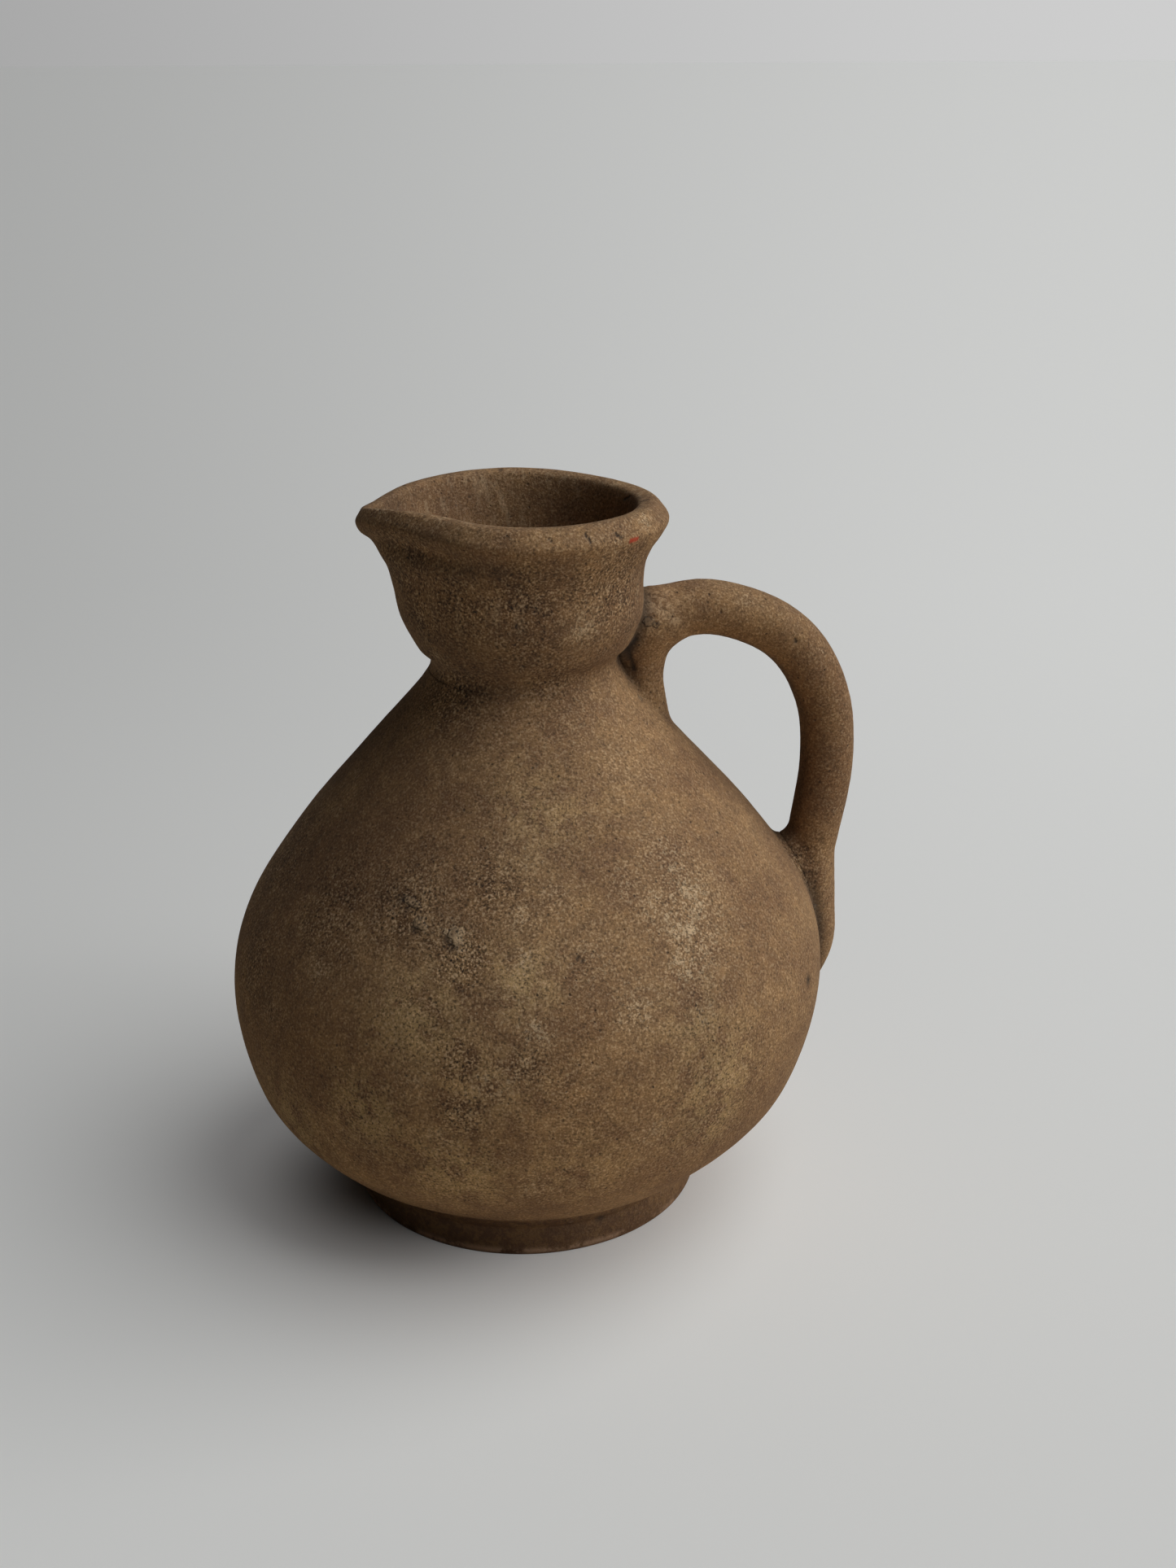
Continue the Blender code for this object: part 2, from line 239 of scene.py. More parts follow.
def resampled(path, count):
    """The path as count points at equal steps."""
    lengths = path_lengths(path)
    wanted = np.linspace(0.0, lengths[-1], count)
    return np.stack([np.interp(wanted, lengths, column) for column in path.T], axis=1)


def evenly(path, spacing):
    """The path as points about one spacing apart."""
    return resampled(path, max(int(round(path_lengths(path)[-1] / spacing * FINE)), 2) + 1)


def offset_profile(profile, distance):
    """The profile moved sideways, outwards from the axis for a positive distance."""
    along = np.gradient(profile, axis=0)
    along /= np.linalg.norm(along, axis=1)[:, None]
    return profile + np.stack([along[:, 1], -along[:, 0]], axis=1) * distance


def lattice_noise(points, cell, seed):
    """Smooth noise from -1 to 1 with lumps about one cell wide."""
    size = 32
    table = np.random.default_rng(seed).uniform(-1.0, 1.0, (size, size, size))
    place = points / cell + 11.3 * seed
    corner = np.floor(place).astype(int)
    part = place - corner
    part = part * part * (3.0 - 2.0 * part)
    total = np.zeros(len(points))
    for i in (0, 1):
        for j in (0, 1):
            for k in (0, 1):
                share = (np.abs(1 - i - part[:, 0]) * np.abs(1 - j - part[:, 1])
                         * np.abs(1 - k - part[:, 2]))
                total += share * table[(corner[:, 0] + i) % size, (corner[:, 1] + j) % size,
                                       (corner[:, 2] + k) % size]
    return total


def smooth_step(value):
    """Smooth rise from 0 to 1 as value goes from 0 to 1."""
    value = np.clip(value, 0.0, 1.0)
    return value * value * (3.0 - 2.0 * value)


def blend(first, second, width):
    """Union of two distances with a fillet about width wide between them."""
    share = np.clip(0.5 + 0.5 * (second - first) / width, 0.0, 1.0)
    return second * (1.0 - share) + first * share - width * share * (1.0 - share)


def ramp(value, start, end):
    """Smooth rise from 0 to 1 as value goes from start to end."""
    return smooth_step((value - start) / (end - start))


def bump(value, width):
    """1 where value is 0, fading on both sides over about one width."""
    return np.exp(-((value / width) ** 2))


def drift(height):
    """How far the middle line has wandered sideways at this height."""
    table = smooth_curve(DRIFT, 8)
    return np.interp(height, table[:, 0], table[:, 1])


def straightened(stations):
    """Stations before the drift is added, so that they end where the CAD has them."""
    moved = stations.copy()
    moved[:, 0] -= drift(stations[:, 1])
    return moved


def rod_distance(points, path, depth=1.0):
    """Distance to a rod along a path in the XZ plane; depth is its width along Y."""
    start, step = path[:-1], np.diff(path, axis=0)
    x, y, z = points[:, 0:1], points[:, 1] / depth, points[:, 2:3]
    along = ((x - start[:, 0]) * step[:, 0] + (z - start[:, 1]) * step[:, 1])
    along = np.clip(along / (step[:, 0] ** 2 + step[:, 1] ** 2), 0.0, 1.0)
    gap = np.hypot(x - start[:, 0] - along * step[:, 0], z - start[:, 1] - along * step[:, 1])
    return (np.hypot(gap, y[:, None]) - start[:, 2] - along * step[:, 2]).min(axis=1)


BODY = smooth_curve(BODY_STATIONS, 16)
BODY_TILT = 1.0 / np.hypot(1.0, np.gradient(BODY[:, 0], BODY[:, 1]))
HANDLE = straightened(smooth_curve(HANDLE_STATIONS, 5))
BRACE = straightened(smooth_curve(BRACE_STATIONS, 4))
COLLAR = straightened(smooth_curve(COLLAR_STATIONS, 4))
TAIL = straightened(smooth_curve(TAIL_STATIONS, 4))


def distances(points):
    """Distance in metres to the outer face of the body and of each piece put on it.

    Distances are below zero inside. The last entry is no distance: it says how strong
    the webbing behind the handle's foot is here, from 0 to 1.
    """
    around_axis = np.hypot(points[:, 0], points[:, 1])
    body = around_axis - np.interp(points[:, 2], BODY[:, 1], BODY[:, 0])
    body = body * np.interp(points[:, 2], BODY[:, 1], BODY_TILT)
    clods = sum(share * lattice_noise(points, size, seed) for size, share, seed in CLODS)
    coil = np.hypot(around_axis - FOOT_COIL_RADIUS, points[:, 2] - FOOT_TOP)
    return {
        "body": body,
        "foot_luting_coil": coil - FOOT_COIL_THICKNESS + clods * COIL_CLODS,
        "handle": rod_distance(points, HANDLE),
        "handle_brace": rod_distance(points, BRACE, BRACE_DEPTH),
        "handle_top_luting_clay": (rod_distance(points, COLLAR, COLLAR_DEPTH)
                                   + clods * COLLAR_CLODS),
        "handle_tail_clay": rod_distance(points, TAIL, TAIL_WIDTH) + clods * TAIL_CLODS,
        "webbing": bump(np.linalg.norm(points - WEBBING_PLACE, axis=1), WEBBING_REACH),
    }


def surface(part):
    """Distance to the whole pot's outer face, its joints filled with fillets."""
    body = blend(part["body"], part["foot_luting_coil"], FOOT_COIL_FILLET)
    arm = blend(part["handle"], part["handle_brace"], ARM_FILLET)
    arm = blend(arm, part["handle_tail_clay"], ARM_FILLET)
    arm = blend(arm, part["handle_top_luting_clay"], COLLAR_FILLET)
    return blend(body, arm, JOINT_FILLET + WEBBING_FILLET * part["webbing"])


def joint_dirt(points):
    """Painted shade: 1 in the corners where the arm's pieces meet the body, fading away from them.
    """
    part = distances(points)
    arm = np.min([part[name] for name in ARM_PIECES], axis=0)
    return bump(np.abs(part["body"]) + np.abs(arm), JOINT_SHADE_REACH)


def settled(rings, name):
    """Rings moved out to the pot's filleted face where their own piece is the top one."""
    points = rings.reshape(-1, 3).copy()
    chosen = np.nonzero(surface(distances(points)) < -SETTLED_WITHIN)[0]
    for _ in range(SETTLING_ROUNDS):
        place = points[chosen]
        if not len(place):
            break
        part = distances(place)
        others = np.min([part[key] for key in part if key not in (name, "webbing")], axis=0)
        buried = np.maximum(part[name] - others, 0.0)
        level = -buried ** 2 / (2.0 * TUCK_SOFTNESS)
        slope = np.stack([surface(distances(place + step)) - surface(distances(place - step))
                          for step in np.eye(3) * SLOPE_PROBE], axis=1)
        slope /= 2.0 * SLOPE_PROBE
        slope /= np.maximum(np.linalg.norm(slope, axis=1)[:, None], LEAST_SLOPE)
        move = np.clip(level - surface(part), 0.0, LONGEST_MOVE)
        points[chosen] = place + slope * move[:, None]
    return points.reshape(rings.shape)


def handmade(points):
    """The same small lumps and drift for every piece, so that joints stay shut."""
    moved = points.copy()
    rise = smooth_step(points[:, 2] / FLAT_UNDER)
    for order, (cell, height) in enumerate(LUMPS):
        for axis in range(3):
            lump = lattice_noise(points, cell, LUMP_SEED + 3 * order + axis) * height
            sideways = FOOT_UNEVENNESS + (1.0 - FOOT_UNEVENNESS) * rise
            moved[:, axis] += lump * (rise if axis == 2 else sideways)
    lean = drift(points[:, 2])
    moved[:, 0] += lean * math.cos(DRIFT_ANGLE)
    moved[:, 1] += lean * math.sin(DRIFT_ANGLE)
    moved[:, 1] -= FOOT_NEARER * (1.0 - smooth_step(points[:, 2] / NEARER_UP_TO))
    return moved


def around(count):
    """Angles of count points around a circle."""
    return np.arange(count) * math.tau / count


def turned_rings(profile, count):
    """Rings of points, one for each (radius, height) of a profile."""
    angle = around(count)
    radius = profile[:, 0:1]
    return np.stack([radius * np.cos(angle), radius * np.sin(angle),
                     np.repeat(profile[:, 1:2], count, axis=1)], axis=2)


def rod_rings(path, count, depth):
    """Rings around a path of (X, height, radius) in the XZ plane."""
    along = np.gradient(path[:, :2], axis=0)
    along /= np.linalg.norm(along, axis=1)[:, None]
    across = np.stack([along[:, 1], -along[:, 0]], axis=1)
    angle = around(count)
    out = path[:, 2:3] * np.cos(angle)
    return np.stack([path[:, 0:1] + across[:, 0:1] * out, path[:, 2:3] * np.sin(angle) * depth,
                     path[:, 1:2] + across[:, 1:2] * out], axis=2)


def round_ends(path, steps=7):
    """The path with its ends closed by half spheres."""
    ends = []
    for end, inner in ((path[0], path[1]), (path[-1], path[-2])):
        away = (end[:2] - inner[:2]) / np.linalg.norm(end[:2] - inner[:2])
        turns = np.linspace(0.0, math.pi / 2 * 0.97, steps)[1:]
        ends.append([(*(end[:2] + away * end[2] * math.sin(turn)), end[2] * math.cos(turn))
                     for turn in turns])
    return np.array([*reversed(ends[0]), *map(tuple, path), *ends[1]])


def rings_to_object(name, rings, loop, material):
    """One closed mesh from rings of points; loop joins the last ring to the first."""
    rows, count = rings.shape[:2]
    points = rings.reshape(-1, 3)
    this = np.arange(rows if loop else rows - 1)[:, None] * count
    column = np.arange(count)
    following = (column + 1) % count
    ahead = (this + count) % (rows * count)
    quads = np.stack([this + column, this + following, ahead + following, ahead + column],
                     axis=2).reshape(-1, 4)
    faces = quads.tolist()
    if not loop:
        first, last = len(points), len(points) + 1
        points = np.vstack([points, rings[0].mean(axis=0), rings[-1].mean(axis=0)])
        base = (rows - 1) * count
        faces += [(first, b, a) for a, b in zip(column.tolist(), following.tolist())]
        faces += [(last, base + a, base + b) for a, b in zip(column.tolist(), following.tolist())]
    places = handmade(points)
    mesh = bpy.data.meshes.new(name)
    mesh.from_pydata(places.tolist(), [], faces)
    mesh.update()
    if signed_volume(mesh) < 0:
        mesh.flip_normals()
    mesh.shade_smooth()
    mesh.materials.append(material)
    # painted shade in the corners where the arm meets the body
    paint(mesh, places, joint_dirt(points))
    piece = bpy.data.objects.new(name, mesh)
    bpy.context.scene.collection.objects.link(piece)
    return piece


def signed_volume(mesh):
    """Volume inside the mesh, below zero where its faces point inwards."""
    places = np.empty(len(mesh.vertices) * 3)
    mesh.vertices.foreach_get("co", places)
    places = places.reshape(-1, 3)
    mesh.calc_loop_triangles()
    corners = np.empty(len(mesh.loop_triangles) * 3, dtype=int)
    mesh.loop_triangles.foreach_get("vertices", corners)
    a, b, c = places[corners.reshape(-1, 3)].transpose(1, 0, 2)
    return float(np.einsum("ij,ij->i", a, np.cross(b, c)).sum()) / 6.0


def body_part(low, high, spacing):
    """The body's outer face between two heights, its ends running on under the neighbours."""
    lengths = path_lengths(BODY)
    start, end = np.interp([low, high], BODY[:, 1], lengths)
    run_in = TUCK_LENGTH if low > 0.0 else 0.0
    run_out = TUCK_LENGTH if high < BODY[-1, 1] else 0.0
    count = int(round((end - start + run_in + run_out) / spacing * FINE)) + 2
    wanted = np.linspace(start - run_in, end + run_out, count)
    profile = np.stack([np.interp(wanted, lengths, column) for column in BODY.T], axis=1)
    beyond = np.maximum(np.maximum(start - wanted, wanted - end), 0.0)
    sunk = beyond ** 2 / (2.0 * TUCK_SOFTNESS)
    along = np.gradient(profile, axis=0)
    along /= np.linalg.norm(along, axis=1)[:, None]
    return profile - np.stack([along[:, 1], -along[:, 0]], axis=1) * sunk[:, None]


def flat_disc(outer, height, count):
    """Points of a flat face from near the axis to an outer radius, without that radius."""
    return [(radius, height) for radius in np.linspace(MM, outer, count)[:-1]]


def build_belly(material):
    """Hollow globe with its own floor, open at the shoulder."""
    outside = body_part(FOOT_SEAM, COIL_SEAM, BELLY_SPACING)
    inside = offset_profile(outside, -WALL)[::-1]
    inside = inside[(inside[:, 1] > FOOT_TOP + FLOOR_THICKNESS)
                    & (inside[:, 1] < BELLY_TOP - 2.0 * MM)][::4]
    floor = flat_disc(inside[-1][0], FOOT_TOP + FLOOR_THICKNESS, 6)[::-1]
    under = flat_disc(outside[0][0], outside[0][1], 6)
    throat = [(THROAT_RADIUS, outside[-1][1])]
    rings = turned_rings(np.vstack([under, outside, throat, inside, floor]),
                         int(BELLY_SIDES * FINE))
    used = len(under) + len(outside)
    rings[:used] = settled(rings[:used], "body")
    return rings_to_object("belly_clay", rings, False, material)


def mouth_values(direction):
    """Outer radius, lip width, crest drop and crease depth in one direction (degrees)."""
    table = np.array(MOUTH)
    table = np.vstack([table[-2:] - [360, 0, 0, 0, 0], table, table[:2] + [360, 0, 0, 0, 0]])
    at, values = table[:, 0], table[:, 1:]
    slopes = np.zeros_like(values)
    slopes[1:-1] = (values[2:] - values[:-2]) / (at[2:] - at[:-2])[:, None]
    index = np.searchsorted(at, direction, side="right") - 1
    span = at[index + 1] - at[index]
    t = (direction - at[index]) / span
    return ((2 * t ** 3 - 3 * t ** 2 + 1) * values[index]
            + (t ** 3 - 2 * t ** 2 + t) * span * slopes[index]
            + (-2 * t ** 3 + 3 * t ** 2) * values[index + 1]
            + (t ** 3 - t ** 2) * span * slopes[index + 1])


def neck_section(direction):
    """Outer face, lip and inner face of the neck in one direction from the spout."""
    outer, width, drop, crease = mouth_values(direction)
    top = PITCHER_TOP - 0.1 * MM - drop
    inner = outer - width
    pressed = max(WIDEST_MOUTH - outer, 0.0)
    wide = min(max((width - NARROW_LIP) / (WIDE_LIP - NARROW_LIP), 0.0), 1.0)
    under_lip = LIP_ROOT - 0.45 * pressed
    crease_radius = (under_lip + outer - 0.5 * MM) / 2.0 - crease
    outer_face = (
        *NECK_STATIONS[:3],
        (35.0 * MM - 0.2 * pressed, 187.6 * MM),
        (under_lip, 192.0 * MM),
        (crease_radius, top - (8.4 + 1.0 * wide) * MM),
    )
    lip = (
        (outer - 1.1 * MM, top - (6.2 + 1.2 * wide) * MM),
        (outer, top - (3.4 + 1.4 * wide) * MM),
        (outer - (1.0 + 0.5 * wide) * MM, top - (1.2 + 1.1 * wide) * MM),
        (outer - 0.42 * width, top - 0.1 * MM),
        (inner + 0.16 * width, top - 0.4 * MM),
        (inner, top - 2.4 * MM),
        (inner - 1.2 * MM, top - 7.0 * MM),
        (inner - 2.6 * MM, top - 14.0 * MM),
    )
    return smooth_curve((*outer_face, *lip, *INNER_NECK_STATIONS), 10)


def build_neck(material):
    """Collar with its waist, rolled lip and pinched spout, as one closed loop of rings."""
    shoulder_end = body_part(NECK_SEAM, NECK_STATIONS[0][1], NECK_SPACING)
    shoulder_end = shoulder_end[shoulder_end[:, 1] < NECK_STATIONS[0][1] - 0.3 * MM]
    rows = int(NECK_ROWS * FINE)
    angles = around(int(NECK_SIDES * FINE))
    sections = []
    for angle in angles:
        section = neck_section(math.degrees(math.pi - angle))
        sections.append(resampled(np.vstack([shoulder_end, section]), rows))
    sections = np.array(sections)
    radius, height = sections[:, :, 0], sections[:, :, 1]
    rings = np.stack([radius * np.cos(angles)[:, None], radius * np.sin(angles)[:, None],
                      height], axis=2).transpose(1, 0, 2)
    used = int((height.mean(axis=0)[:rows // 2] < SETTLED_NECK_TOP).sum())
    rings[:used] = settled(rings[:used], "body")
    return rings_to_object("neck_clay", rings, True, material)


def build_foot(material):
    """Flat round disc, rounded at its lower edge."""
    outside = body_part(0.0, FOOT_SEAM, FOOT_SPACING)
    under = flat_disc(outside[0][0], 0.0, 8)
    over = flat_disc(outside[-1][0], outside[-1][1], 6)[::-1]
    rings = turned_rings(np.vstack([under, outside, over]), int(FOOT_SIDES * FINE))
    used = len(under) + len(outside)
    rings[:used] = settled(rings[:used], "body")
    return rings_to_object("foot_clay", rings, False, material)


def build_neck_coil(material):
    """Thin ring of clay between shoulder and neck."""
    outside = body_part(COIL_SEAM, NECK_SEAM, NECK_COIL_SPACING)
    inside = offset_profile(outside, -NECK_COIL_WALL)[::-3]
    rings = turned_rings(np.vstack([outside, inside]), int(NECK_COIL_SIDES * FINE))
    rings[:len(outside)] = settled(rings[:len(outside)], "body")
    return rings_to_object("neck_luting_coil_clay", rings, True, material)


def build_foot_coil(material):
    """Thin roll of clay in the groove between foot and belly."""
    angle = around(int(FOOT_COIL_SECTION * FINE))
    section = np.stack([FOOT_COIL_RADIUS + FOOT_COIL_THICKNESS * np.cos(angle),
                        FOOT_TOP + FOOT_COIL_THICKNESS * np.sin(angle)], axis=1)
    rings = settled(turned_rings(section, int(FOOT_COIL_SIDES * FINE)), "foot_luting_coil")
    return rings_to_object("foot_luting_coil_clay", rings, True, material)


def build_rod(name, node, path, depth, sides, spacing, material):
    """Round-ended rod along a path, its face settled on the pot's."""
    rings = rod_rings(round_ends(evenly(path, spacing)), int(sides * FINE), depth)
    return rings_to_object(name, settled(rings, node), False, material)


# Stains, marks, painted shade and painted shadows, in millimetres on the finished surface.
# A spot is (x, y, z, radius, strength). The last spots of the first three lists are on the side
# that the photo doesn't show.
PALE_DUST = (
    (33, -59, 109, 13, 1.0), (31, -52, 118, 9, 0.8), (35, -64, 102, 10, 1.0),
    (19, -59, 116, 6, 0.6), (33, -70, 96, 8, 0.9), (34, -75, 87, 6, 0.7),
    (17, -78, 90, 8, 0.7), (5, -72, 102, 10, 0.45), (-1, -62, 116, 4, 0.9),
    (-27, -63, 107, 5, 1.0), (-10, -65, 111, 5, 0.8), (-11, -71, 103, 4, 0.9),
    (-15, -82, 78, 5, 0.9), (-21, -82, 73, 5, 1.0), (-9, -81, 87, 5, 0.9),
    (-61, -47, 93, 5, 0.6), (-75, -36, 77, 7, 0.6), (-33, -77, 56, 5, 0.8),
    (-10, -79, 41, 6, 0.8), (21, -81, 55, 6, 0.5), (-9, -55, 123, 10, 0.4),
    (-41, -74, 72, 8, 0.5), (-54, -63, 50, 9, 0.5), (9, -29, 152, 12, 0.3),
    (-13, -30, 149, 9, 0.25), (21, -36, 140, 10, 0.25), (12, -32, 177, 6, 0.8),
    (-3, -30, 167, 4, 0.6), (-25, -16, 167, 4, 0.8), (20, -35, 198, 4, 0.6),
    (30, -24, 203, 3, 0.6), (-37, -8, 204, 4, 0.8), (84, -7, 159, 1.2, 0.8),
    (92, -7, 135, 1.0, 0.8), (91, -7, 110, 2.0, 0.7), (63, -6, 175, 2.0, 0.6),
    (-38, -53, 111, 12, 0.5), (-30, -63, 107, 9, 0.6), (-28, -80, 65, 8, 0.5),
    (-20, -77, 92, 8, 0.4),
    (-30, 62, 100, 14, 0.8), (35, 70, 84, 12, 0.7), (60, 48, 110, 9, 0.6), (-62, 40, 60, 10, 0.6),
)
TAN_ZONES = (
    (-38, -71, 88, 14, 0.9), (-52, -67, 60, 13, 1.0), (-30, -76, 46, 15, 0.9),
    (-1, -82, 46, 16, 0.35), (-12, -75, 98, 10, 0.8), (34, -76, 82, 12, 0.6),
    (-3, -47, 132, 16, 0.5), (39, -75, 66, 14, 0.8), (38, -74, 54, 12, 0.8),
    (-24, -80, 74, 15, 0.6), (-70, -40, 46, 16, 0.8),
    (30, 72, 60, 20, 0.8), (-40, 68, 70, 18, 0.8), (-10, 78, 100, 14, 0.7),
)
# Dark patches, partly stain and partly painted shade, such as at the waist's left and where the
# handle meets the belly.
DARK_STAINS_AND_SHADE = (
    (-56, -40, 105, 14, 0.7), (-38, -53, 111, 12, 0.9), (-26, -67, 103, 9, 1.0),
    (-28, -80, 65, 7, 0.9), (-11, -83, 79, 6, 0.7), (-20, -16, 158, 11, 0.9),
    (-32, -15, 191, 12, 0.8), (-28, -18, 178, 9, 0.8), (-68, -1, 106, 16, 0.7),
    (-17, -58, 118, 10, 0.7), (-3, -85, 72, 10, 0.3), (-29, -78, 80, 8, 0.8),
    (-4, -34, 185, 12, 0.8), (-3, -30, 175, 9, 0.7), (14, -32, 188, 10, 0.6),
    (4, -27, 162, 8, 0.6), (-80, -20, 84, 14, 0.6), (2, -84, 60, 9, 0.25),
    (80, -10, 98, 5, 0.9), (81, -9, 90, 4, 0.7), (22, -28, 186, 14, 0.7),
    (-18, -26, 184, 12, 0.8),
    (50, 62, 96, 14, 0.7), (-20, 82, 62, 12, 0.6), (-70, 36, 96, 14, 0.6),
)
PALE_LUTING = (
    (37, -7, 175, 5, 1.0), (41, -9, 171, 4, 1.0), (35, -9, 170, 3, 0.8),
    (44, -6, 175, 4, 0.6), (87, -6, 84, 3, 0.5), (37, 8, 173, 6, 0.9),
)
# Dark pits, with painted shadows beside crumbs and painted shade in the cleft beside the brace.
PITS_AND_SHADOWS = (
    (0, 35, 205, 0.7, 1.0), (72.4, -45.5, 76.1, 1.5, 1.0), (76.4, -8.2, 163, 0.6, 0.9),
    (-9.5, -73.1, 100.5, 0.5, 0.8), (-13.9, -70.1, 103.5, 0.5, 0.8),
    # the spot at (28.7, -7.6, 163.2) is painted shade in the cleft beside the brace
    (-1.5, -38.4, 142.6, 0.5, 0.7), (12.7, -50, 8.9, 1.3, 0.9), (28.7, -7.6, 163.2, 2.2, 1.0),
    (34.2, -9.5, 171.5, 1.2, 1.0), (36.2, -9.5, 169.6, 0.9, 0.9),
    # the next five spots are painted shadows on the lower left of crumbs
    (-38.9, -50.2, 112.2, 1.2, 0.8), (-37.2, -52.2, 110.9, 1.2, 0.9),
    (-36.4, -57.2, 107.2, 1.4, 0.9), (-28.7, -62.8, 105.9, 1.2, 0.8),
    (-27.6, -64.3, 104.5, 1.2, 0.7), (31.9, -9.8, 149.4, 0.9, 0.5),
)
CRUMBS = (
    (-37.8, -51.2, 113, 1.5, 0.9), (-36.6, -52.4, 112.6, 1.5, 1.0), (-35.3, -53.7, 112, 1.4, 0.8),
    (-35.5, -56.9, 108.8, 1.8, 1.0), (-34.6, -58.1, 108.1, 1.5, 0.9),
    (-27.4, -62.5, 107.6, 1.8, 0.9), (-26.4, -64, 106.2, 1.7, 1.0),
    (-29.5, -61.3, 107.7, 1.4, 0.7), (31.9, -9.8, 149.4, 1.4, 0.9), (84.4, -10.6, 81.6, 1.3, 0.8),
    (34.4, -9.3, 171, 2.0, 1.0), (36.4, -9.6, 169.8, 1.7, 0.9), (-22, -69, 101, 1.2, 0.7),
    (-14.5, -75, 94, 1.2, 0.7), (-48, -52, 96, 1.3, 0.7),
)

# Strokes are (start, end, half width).
CHAFF_AND_CLEFT_SHADE = (
    ((32.4, -7.9, 204.1), (34.4, -6.8, 204.4), 0.35),
    ((30.6, 7.4, 201.4), (31.6, 4.7, 202.7), 0.35),
    ((11.9, -36.6, 203.0), (13.2, -37.7, 201.1), 0.3),
    ((20.4, -33.7, 201.9), (21.9, -33.5, 200.9), 0.45),
    # the next two strokes are painted shade in the cleft between the brace and the neck
    ((31.0, -8.4, 166.6), (28.7, -7.4, 163.2), 0.7),
    ((28.7, -7.4, 163.2), (31.0, -4.9, 156.3), 0.8),
    ((2.5, -38.5, 202.6), (3.1, -38.7, 202.2), 0.3),
    ((2.3, -71.2, 103.9), (4.3, -72.8, 101.7), 0.3),
)
# Painted shade along the handle's inner side.
HANDLE_SHADE = (
    ((53, 0, 164), (65, 0, 160.5), 4.0),
    ((65, 0, 160.5), (74.5, 0, 152), 4.0),
    ((74.5, 0, 152), (80.5, 0, 139.5), 4.5),
    ((80.5, 0, 139.5), (81.4, 0, 123.5), 4.5),
    ((81.4, 0, 123.5), (79, 0, 106), 4.5),
    ((79, 0, 106), (77, 0, 94), 4.5),
)
RED_FLECK = (((24.5, -32.0, 199.6), (26.5, -30.5, 199.7), 0.55),)
HANDLE_SHADE_STRENGTH = 0.62
# share of the joints' painted shade that is taken off low on the brace
SHADE_LOST_LOW_ON_BRACE = 0.75
NECK_DARKENING_ON_HANDLE_SIDE = 0.35         # share of the neck's darkening that is left near the handle
SMEARED_FRONT = math.radians(-55.0)    # direction in which the belly's clay runs down the foot
THIN_SLIP = math.radians(-40.0)        # and in which the foot's dark slip is thinnest
WIDE_TURN = math.radians(45.0)


def spotted(places, spots):
    """Strength at each place of the strongest of some round spots, fading outwards."""
    strength = np.zeros(len(places))
    for x, y, z, radius, peak in spots:
        away = np.linalg.norm(places / MM - (x, y, z), axis=1)
        strength = np.maximum(strength, peak * bump(away, radius))
    return strength


def streaked(places, strokes):
    """1 along some straight strokes, fading at their edges."""
    strength = np.zeros(len(places))
    for start, end, half_width in strokes:
        start, end = np.array(start), np.array(end)
        run = end - start
        t = np.clip((places / MM - start) @ run / (run @ run), 0.0, 1.0)
        away = np.linalg.norm(places / MM - start - t[:, None] * run, axis=1)
        strength = np.maximum(strength, 1.0 - smooth_step(away / half_width - 0.5))
    return strength


def neck_inside(x, y, z):
    """1 on the inner face of the mouth, 0 outside and deep down."""
    return ramp(z, 170.0 * MM, 188.0 * MM) * ramp(np.hypot(x, y), 36.0 * MM, 33.0 * MM)


def neck_soot(x, y, z):
    """Darkening of the neck's outer face, strongest on the spout's side, where it reaches the lip.
    """
    top = (194.0 + 6.0 * ramp(x, -10.0 * MM, -30.0 * MM)) * MM
    soot = ramp(z, 150.0 * MM, 164.0 * MM) * ramp(z, top + 7.0 * MM, top)
    soot *= NECK_DARKENING_ON_HANDLE_SIDE + (1.0 - NECK_DARKENING_ON_HANDLE_SIDE) * ramp(x, 22.0 * MM, -18.0 * MM)
    return soot * ramp(x, 35.0 * MM, 27.0 * MM) * (1.0 - neck_inside(x, y, z))


def arm_dirt(places, dirt):
    """Painted shade in the arm's joints, less of it low on the brace, and along the handle's inner
    side.
    """
    low_on_brace = (ramp(places[:, 2], 162.0 * MM, 147.0 * MM)
                    * ramp(places[:, 0], 55.0 * MM, 45.0 * MM))
    dirt = dirt * (1.0 - SHADE_LOST_LOW_ON_BRACE * low_on_brace)
    return np.maximum(dirt, HANDLE_SHADE_STRENGTH * streaked(places, HANDLE_SHADE))


def foot_tones(x, y, z):
    """How much of the foot's dark slip is here, and how much of its worn lower edge."""
    turn = np.arctan2(y, x)
    seam = FOOT_TOP + 0.6 * MM - 1.6 * MM * bump(turn - SMEARED_FRONT, WIDE_TURN)
    slip = ramp(z, seam + 2.0 * MM, seam) * (1.0 - 0.45 * bump(turn - THIN_SLIP, WIDE_TURN))
    return slip, slip * bump(z - 1.6 * MM, 0.9 * MM)


def paint(mesh, places, dirt):
    """Store each stain, mark, painted shade and painted shadow as vertex values that the clay's
    material reads.
    """
    x, y, z = places.T
    layers = {
        # the dark spots are partly stain and partly painted shade
        "stains_and_shade": (spotted(places, PALE_DUST), spotted(places, TAN_ZONES),
                   spotted(places, DARK_STAINS_AND_SHADE)),
        "parts": (*foot_tones(x, y, z), neck_inside(x, y, z)),
        # chaff and pits, with painted shadows beside crumbs and painted shade in the brace's cleft
        "marks_and_shadows": (np.maximum(streaked(places, CHAFF_AND_CLEFT_SHADE), spotted(places, PITS_AND_SHADOWS)),
                  streaked(places, RED_FLECK), spotted(places, PALE_LUTING)),
        # crumbs, the neck's darkening, and painted shade in the arm's joints and on the handle's
        # inner side
        "relief": (spotted(places, CRUMBS), neck_soot(x, y, z), arm_dirt(places, dirt)),
    }
    for name, channels in layers.items():
        values = np.stack([*channels, np.ones(len(places))], axis=1)
        layer = mesh.color_attributes.new(name, "FLOAT_COLOR", "POINT")
        layer.data.foreach_set("color", values.ravel())


